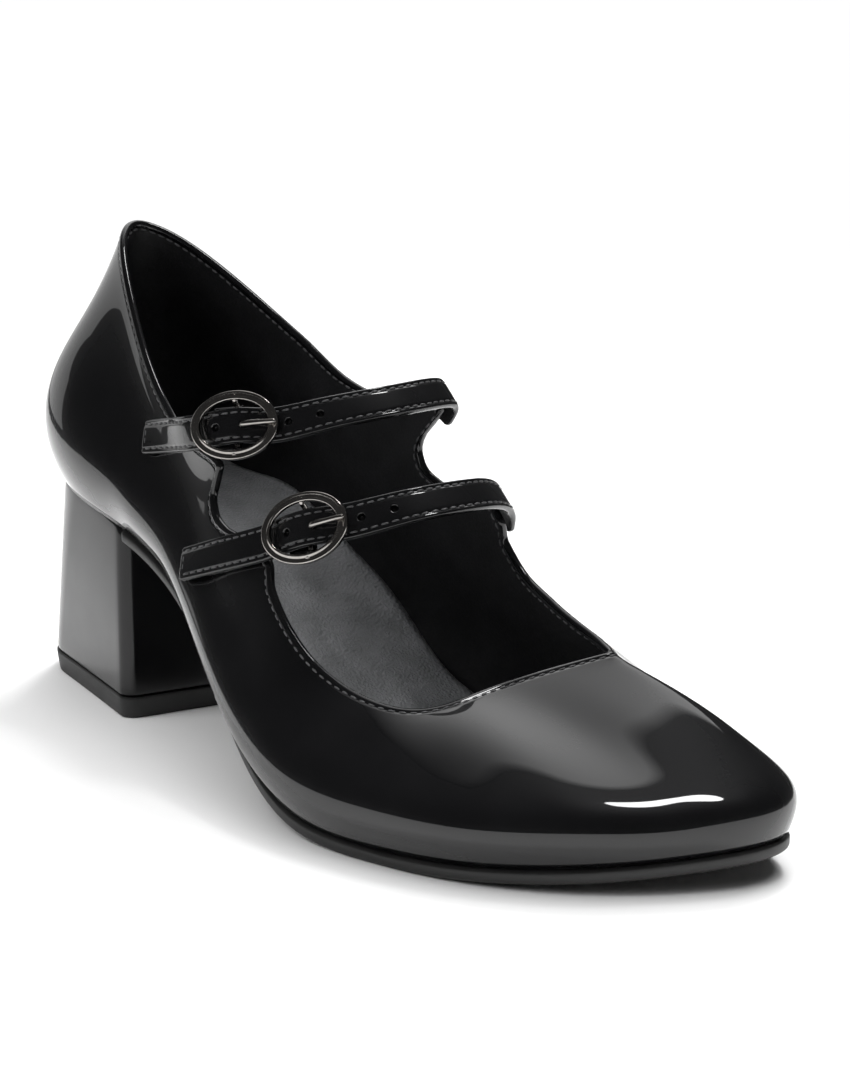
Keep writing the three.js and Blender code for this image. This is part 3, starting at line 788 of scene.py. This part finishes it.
def heel_block():
    """Covered heel block with the seam of its cover up the middle of the breast."""
    seam_from = 30
    edge_draw, top_share, foot_share = 0.5, 0.008, 0.006
    rings = []
    levels = np.concatenate([[0, 0.004, 0.012], np.linspace(0.03, 0.97, 26), [0.985, 0.994, 1]])
    for t in levels:
        draw = edge_draw * (np.exp(-t / top_share) + np.exp(-(1 - t) / foot_share))
        ring = heel_outline(HEEL_TOP * (1 - t) + HEEL_FOOT * t, -draw)
        seam = np.exp(-((ring[:, 1] - HEEL_MIDDLE_Y) / HEEL_SEAM["width"]) ** 2) \
            * (ring[:, 0] > seam_from)
        high = bed(ring[:, 0]) - GAP
        ring[:, 2] = high + (TOP_LIFT + GAP - high) * t
        ring[:, 0] -= HEEL_SEAM["depth"] * seam
        rings.append(ring)
    rings = np.roll(np.array(rings), len(rings[0]) // 4, axis=1)
    piece = tube_piece("heel_cover", rings, False, [HEEL_PATENT])
    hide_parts("heel_block")


def heel_top_lift():
    levels = [
        # grow, z
        (-1.2, 0), (-0.9, 0.02), (-0.6, 0.2), (-0.45, 0.6), (0.2, TOP_LIFT - 0.7),
        (0.2, TOP_LIFT - 0.25), (0.0, TOP_LIFT - 0.05), (-0.4, TOP_LIFT),
    ]
    rings = []
    for grow, z in levels:
        ring = heel_outline(HEEL_FOOT, grow)
        ring[:, 2] = z
        rings.append(ring)
    rings = np.roll(np.array(rings), len(rings[0]) // 4, axis=1)
    piece = tube_piece("heel_top_piece", rings, False, [LIFT])
    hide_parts("heel_top_lift")


# ---------- straps ----------

class StrapLine:
    """Position, direction, width direction and normal along a strap, by length in millimetres."""

    def __init__(self, table):
        table = np.array(table, float)
        self.knots = lengths(table[:, :3])
        self.length = self.knots[-1]
        self.curve = spline(self.knots, table[:, :5])
        self.lift = gentle(list(zip(self.knots, table[:, 5])))

    def frame(self, s):
        s = np.asarray(s, float)
        here = self.curve(s)
        e = 0.05
        along = unit(self.curve(s + e)[..., :3] - self.curve(s - e)[..., :3])
        lean = np.radians(here[..., 3])
        across = np.stack([np.cos(lean), here[..., 4], -np.sin(lean)], axis=-1)
        across = unit(across - along * np.sum(across * along, axis=-1, keepdims=True))
        normal = unit(np.cross(across, along))
        return here[..., :3], along, across, normal

    def buckle(self):
        """place(s, a, n) in the buckle's frame, and the directions of s and a."""
        o, along, across, normal = self.frame(self.knots[BUCKLE_AT])

        def place(s, a, n):
            return (o + np.multiply.outer(s, along) + np.multiply.outer(a, across)
                    + np.multiply.outer(n, normal))

        return place, along, across


def strap_top(a, s, holes):
    """Height of the strap's face over its middle plane at width a and length s."""
    crown_height, lip_height = 0.1, 0.05
    inset = STRAP_WIDTH / 2 - np.abs(a)
    crown = crown_height * (1 - (a / (STRAP_WIDTH / 2)) ** 2)
    channel = CHANNEL_DEPTH * np.exp(-((inset - STRAP_STITCH_INSET) / CHANNEL_WIDTH) ** 2)
    pit = np.zeros_like(a)
    lip = np.zeros_like(a)
    for hole in holes:
        r = np.hypot(s - hole, a)
        pit = np.maximum(pit, 1 - smoothstep((r - HOLE_RADIUS + 0.25) / 0.4))
        lip = np.maximum(lip, np.exp(-((r - HOLE_RADIUS - 0.35) / 0.28) ** 2))
    return STRAP_THICKNESS / 2 + crown - channel - HOLE_DEPTH * pit + lip_height * lip


def strap(which, table):
    """A strap with rounded edges, its holes and its stitch rows; gives back its centre line."""
    line = StrapLine(table)
    step, steps, edge_steps = 0.25, 40, 7
    corner = STRAP_CORNER
    ends = corner * (1 - np.cos(np.linspace(0, np.pi / 2, 8)))
    s = np.concatenate([ends, np.arange(corner, line.length - corner, step)[1:],
                        line.length - ends[::-1]])
    from_end = np.minimum(s, line.length - s)
    cut = np.clip(corner - from_end, 0, corner)
    half = STRAP_WIDTH / 2 - (corner - np.sqrt(np.clip(corner ** 2 - cut ** 2, 0, None)))
    thin = rounded(from_end, STRAP_END_ROUND, 0.06)
    holes = line.knots[BUCKLE_AT] + np.array(STRAP_HOLES)
    o, _, across, normal = line.frame(s)
    o = o + normal * line.lift(s)[:, None]
    edge = STRAP_THICKNESS / 2
    bulge = 0.6 * edge
    face = (half - bulge)[:, None]
    a_top = np.linspace(1, -1, steps + 1)[None] * face
    n_top = strap_top(a_top, np.broadcast_to(s[:, None], a_top.shape), holes)
    turn = np.linspace(np.pi / 2, 3 * np.pi / 2, edge_steps + 2)[1:-1]
    a_left = -face + bulge * np.cos(turn)[None]
    n_left = np.broadcast_to(edge * np.sin(turn)[None], a_left.shape)
    a_low = -a_top[:, ::4]
    n_low = np.full(a_low.shape, -edge)
    a_right = face - bulge * np.cos(turn)[None, ::-1]
    n_right = np.broadcast_to(edge * np.sin(turn)[None, ::-1], a_right.shape)
    a = np.hstack([a_top, a_left, a_low, a_right])
    n = np.hstack([n_top, n_left, n_low, n_right]) * thin[:, None]
    rings = o[:, None] + across[:, None] * a[..., None] + normal[:, None] * n[..., None]
    if rings.shape[1] % 2:
        rings = np.concatenate([rings, rings[:, -1:] * 0.5 + rings[:, :1] * 0.5], axis=1)
    count = rings.shape[1]
    column = np.tile(np.arange(count), len(s) - 1)
    low_from = steps + 1 + edge_steps
    under = (column >= low_from) & (column < low_from + a_low.shape[1])
    rings_piece = tube_piece(f"strap_{which}_patent", rings, False, [PATENT, LINING],
                             np.where(under, 1, 0))
    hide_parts(f"strap_{which}")
    stitches(f"strap_{which}_stitches", strap_stitch_paths(line), [THREAD])
    return line


def strap_stitch_paths(line):
    """Paths and normals of the rows along both sides of a strap and across its tip."""
    inset = STRAP_WIDTH / 2 - STRAP_STITCH_INSET
    tip = STRAP_STITCH_INSET
    tip_clear, proud = 1.2, 0.12
    run = np.arange(tip, line.length - 1.0, 0.5)
    side = np.linspace(inset - tip_clear, tip_clear - inset, 12)
    paths = [(run, np.full(run.shape, inset)), (run, np.full(run.shape, -inset)),
             (np.full(side.shape, tip), side)]
    made = []
    for s, a in paths:
        o, _, across, normal = line.frame(s)
        rise = line.lift(s) + STRAP_THICKNESS / 2 - CHANNEL_DEPTH + proud
        made.append((o + across * a[:, None] + normal * rise[:, None], normal))
    return made


# ---------- buckles ----------

def full_turn(count):
    return 2 * np.pi * np.arange(count) / count


def buckle(which, line):
    """Oval frame with a groove along its face, and the bar bent down across it."""
    dish = 0.12
    place, along, _ = line.buckle()
    a, t = full_turn(120), full_turn(40)
    section_r = squared(np.cos(t), RING_SQUARE) * RING_WIDTH / 2
    section_n = squared(np.sin(t), RING_SQUARE) * RING_HEIGHT / 2
    groove = GROOVE["depth"] * np.exp(-(section_r / GROOVE["width"]) ** 2)
    section_n -= np.where(section_n > 0, groove, 0)
    rs, ra = BUCKLE_LENGTH / 2 - RING_WIDTH / 2, BUCKLE_WIDTH / 2 - RING_WIDTH / 2
    out_s, out_a = np.cos(a) / rs, np.sin(a) / ra
    size = np.hypot(out_s, out_a)
    out_s, out_a = out_s / size, out_a / size
    s = (rs * np.cos(a))[:, None] + out_s[:, None] * section_r[None]
    w = (ra * np.sin(a))[:, None] + out_a[:, None] * section_r[None]
    n = np.broadcast_to(FRAME_RISE + section_n[None] - dish * section_r[None], s.shape)
    ring = tube_piece(f"buckle_{which}_ring", place(s, w, n), True, [METAL])
    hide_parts(f"buckle_frame_{which}")

    reach = BUCKLE_WIDTH / 2 - WIRE_RADIUS
    shoulder = FRAME_RISE - 0.5
    drop = gentle([(0, FRAME_RISE), (1.2, shoulder), (2.4, BAR_RISE), (2 * reach - 2.4, BAR_RISE),
                   (2 * reach - 1.2, shoulder), (2 * reach, FRAME_RISE)])
    w = np.linspace(0, 2 * reach, 50)
    bar = place(np.zeros(w.shape), w - reach, drop(w))
    tube_piece(f"buckle_{which}_bar", sweep_rings(bar, BAR_RADIUS, along), False, [METAL])


def prong(which, line):
    """Pin curled round the bar, over the strap and out to the frame, with a rounded tip."""
    place, _, across = line.buckle()
    curl = BAR_RADIUS + PRONG_RADIUS + 0.1
    rest = FRAME_RISE + 0.85 + PRONG_RADIUS
    turn = np.radians(np.linspace(150, 300, 9))
    path = [(curl * math.sin(t), BAR_RISE + curl * math.cos(t)) for t in turn]
    path += [(1.2, 2.4), (2.4, 3.7), (4.2, rest - 0.15), (7, rest + 0.05),
             (BUCKLE_LENGTH / 2 - 1.2, rest), (BUCKLE_LENGTH / 2 - 0.1, rest - 0.15)]
    knots = lengths(path)
    at = np.linspace(0, knots[-1], 60)
    fine = spline(knots, path)(at)
    points = place(fine[:, 0], np.zeros(at.shape), fine[:, 1])
    left = knots[-1] - at
    slim, taper, tip_round = 0.78, 8, 0.7
    radius = PRONG_RADIUS * (slim + (1 - slim) * smoothstep(left / taper))
    radius = radius * rounded(left, tip_round, 0.03)
    pin = tube_piece(f"buckle_{which}_prong", sweep_rings(points, radius, across), False,
                     [METAL])
    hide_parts(f"buckle_prong_{which}")


def chape(which, line):
    """Small leather tab under the strap, wider than it, that ends at the buckle's bar."""
    place, _, _ = line.buckle()
    half = STRAP_WIDTH / 2 + CHAPE_OVERHANG
    path = np.array([(-6.2, -1.15), (-3.5, -1.1), (-1.2, -0.9), (0.2, -0.75), (1.4, 0.1)])
    knots = lengths(path)
    at = np.linspace(0, knots[-1], 30)
    mid = spline(knots, path)(at)
    turn = full_turn(40)
    a = squared(np.cos(turn), 0.25) * half
    n = squared(np.sin(turn), 0.7) * CHAPE_THICKNESS / 2
    close = rounded(np.minimum(at, knots[-1] - at), STRAP_END_ROUND, 0.06)
    s = np.repeat(mid[:, :1], len(turn), axis=1)
    rings = place(s, np.broadcast_to(a, s.shape), mid[:, 1:] + n[None] * close[:, None])
    tube_piece(f"chape_{which}", rings, False, [PATENT])


# ---------- set, light and camera ----------

CAMERA_AT = Vector((0.3947, -0.3304, 0.1813))
CAMERA_TO = Vector((0.0142, 0.0134, 0.056))
CAMERA_ROLL = 0.91
CAMERA_LENS = 72.0

LIGHTS = [
    # name, shape, place, aimed at, width, height, watts, shows in reflections
    ("counter_panel", "RECTANGLE", (-1.6, 0.28, 0.36), (0, 0.28, 0.36), 2.1, 0.7, 3.7, True),
    ("toe_box", "ELLIPSE", (0.08, 0.48, 1.5), (0.08, 0.48, 0), 0.36, 0.2, 4, True),
    ("key", "RECTANGLE", (-0.35, 0.75, 1.35), (0, 0, 0), 0.4, 0.4, 14, False),
    ("fill", "RECTANGLE", (-0.2, 0.2, 1.9), (0, 0, 0), 2.2, 2.2, 48, False),
    ("front_fill", "RECTANGLE", (-0.3, -1.3, 1.2), (0, 0, 0), 1.2, 1.2, 15, False),
]
# Width over which the ceiling's light rises along y, and over which it ends along x.
CEILING = {"x": (-2.2, -0.33), "y": (-0.25, 1.6), "z": 1.5, "strength": 2.1,
           "rise": 1.3, "edge": 0.05}
# Flat floor, the curve that takes it up, and the top of the wall, in metres.
FLOOR_RADIUS = 1.6
COVE_RADIUS = 1.2
WALL_TOP = 3.2
# Part of the floor that shows in reflections, and where the lit wall starts.
NEAR_FLOOR = {"half_width": 0.5, "before": -0.45, "behind": 1.2}
WALL_FROM = 1.3
# Distance from the shoe over which the floor turns from lit paper into white light.
FLOOR_FADE = (0.45, 1.1)
# Directions from the camera into the picture and to its right, on the floor.
AHEAD = np.array([-0.82, 0.57])
ASIDE = np.array([0.57, 0.82])


def white_light(shader):
    shader.inputs["Emission Color"].default_value = (1, 1, 1, 1)


def floor_paper():
    """Pale paper near the shoe that fades into plain white light further off."""
    paper, nodes, links, shader, place = material("pale_paper", (0.9, 0.9, 0.9), 0.9)
    shade = noise(nodes, links, place, 300, detail=2)
    lit = tint(nodes, links, shade, (0.9, 0.9, 0.9), (0.915, 0.915, 0.915))
    distance = nodes.new("ShaderNodeVectorMath")
    distance.operation = "LENGTH"
    links.new(place, distance.inputs[0])
    far_off = spread(nodes, links, distance.outputs["Value"], *FLOOR_FADE, 0, 1)
    fade = nodes.new("ShaderNodeMix")
    fade.data_type = "RGBA"
    links.new(far_off, fade.inputs["Factor"])
    links.new(lit, fade.inputs["A"])
    fade.inputs["B"].default_value = (0, 0, 0, 1)
    links.new(fade.outputs["Result"], shader.inputs["Base Color"])
    white_light(shader)
    links.new(far_off, shader.inputs["Emission Strength"])
    return paper


def stage_set():
    """Floor and wall all round the shoe; only the floor near it shows in reflections."""
    turns = full_turn(96)
    flat = np.linspace(0.0002, FLOOR_RADIUS, 60)
    bend = np.radians(np.linspace(3, 90, 24))
    radii = np.concatenate([flat, FLOOR_RADIUS + COVE_RADIUS * np.sin(bend),
                            [FLOOR_RADIUS + COVE_RADIUS]])
    heights = np.concatenate([np.zeros(flat.shape), COVE_RADIUS * (1 - np.cos(bend)), [WALL_TOP]])
    points = np.stack([np.outer(radii, np.cos(turns)), np.outer(radii, np.sin(turns)),
                       np.repeat(heights[:, None], len(turns), axis=1)], axis=-1).reshape(-1, 3)
    faces = grid_faces(len(radii), len(turns), False, True)
    paper = floor_paper()
    glow, _, _, shader, _ = material("lit_wall", (0, 0, 0), 1.0)
    white_light(shader)
    shader.inputs["Emission Strength"].default_value = 1.0
    centre = points[faces].mean(axis=1)[:, :2]
    depth, width = centre @ AHEAD, centre @ ASIDE
    near = (np.abs(width) < NEAR_FLOOR["half_width"]) & (depth > NEAR_FLOOR["before"]) \
        & (depth < NEAR_FLOOR["behind"])
    far = np.linalg.norm(centre, axis=1) > WALL_FROM
    for name, keep, m in (("floor", near, paper), ("floor_far", ~near & ~far, paper),
                          ("backdrop", far, glow)):
        mesh = bpy.data.meshes.new(name)
        mesh.from_pydata(points.tolist(), [], faces[keep].tolist())
        mesh.materials.append(m)
        mesh.polygons.foreach_set("use_smooth", np.ones(int(keep.sum()), bool))
        obj = bpy.data.objects.new(name, mesh)
        bpy.context.scene.collection.objects.link(obj)
        obj.visible_glossy = name == "floor"
        obj.visible_diffuse = name != "backdrop"


def ceiling():
    """White panel over the far side of the shoe whose light rises along y."""
    (x0, x1), (y0, y1), z = CEILING["x"], CEILING["y"], CEILING["z"]
    mesh = bpy.data.meshes.new("ceiling")
    mesh.from_pydata([(x0, y0, z), (x0, y1, z), (x1, y1, z), (x1, y0, z)], [], [(0, 1, 2, 3)])
    glow, nodes, links, shader, place = material("ceiling_glow", (0, 0, 0), 1.0)
    white_light(shader)
    axes = nodes.new("ShaderNodeSeparateXYZ")
    links.new(place, axes.inputs["Vector"])
    fade = spread(nodes, links, axes.outputs["Y"], y0, y0 + CEILING["rise"], 0,
                  CEILING["strength"])
    edge = spread(nodes, links, axes.outputs["X"], x1 - CEILING["edge"], x1, 1, 0)
    both = nodes.new("ShaderNodeMath")
    both.operation = "MULTIPLY"
    links.new(fade, both.inputs[0])
    links.new(edge, both.inputs[1])
    links.new(both.outputs["Value"], shader.inputs["Emission Strength"])
    mesh.materials.append(glow)
    obj = bpy.data.objects.new("ceiling", mesh)
    bpy.context.scene.collection.objects.link(obj)
    obj.visible_camera = False


def light(name, shape, place, target, width, height, watts, reflected):
    """Area light turned towards target; only some of them show in the patent."""
    data = bpy.data.lights.new(name, "AREA")
    data.shape = shape
    data.size, data.size_y = width, height
    data.energy = watts
    obj = bpy.data.objects.new(name, data)
    bpy.context.scene.collection.objects.link(obj)
    obj.location = place
    obj.rotation_euler = (Vector(target) - Vector(place)).to_track_quat("-Z", "Y").to_euler()
    obj.visible_camera = False
    obj.visible_glossy = reflected


def studio():
    """Set, lights, world and camera."""
    stage_set()
    ceiling()
    for lamp in LIGHTS:
        light(*lamp)
    world = bpy.data.worlds.new("studio")
    world.use_nodes = True
    ground = world.node_tree.nodes["Background"]
    ground.inputs["Color"].default_value = (1, 1, 1, 1)
    ground.inputs["Strength"].default_value = 0.05
    scene = bpy.context.scene
    scene.world = world
    scene.view_settings.view_transform = "Standard"
    data = bpy.data.cameras.new("camera")
    data.lens = CAMERA_LENS
    data.sensor_width = 36
    camera = bpy.data.objects.new("camera", data)
    scene.collection.objects.link(camera)
    aim = (CAMERA_TO - CAMERA_AT).to_track_quat("-Z", "Y").to_matrix().to_4x4()
    camera.matrix_world = (Matrix.Translation(CAMERA_AT) @ aim
                           @ Matrix.Rotation(math.radians(CAMERA_ROLL), 4, "Z"))
    data.clip_start, data.clip_end = 0.01, 20
    scene.camera = camera


upper()
edge_stitches()
outsole()
insole()
heel_block()
heel_top_lift()
for which, table in STRAPS.items():
    line = strap(which, table)
    buckle(which, line)
    prong(which, line)
    chape(which, line)
studio()
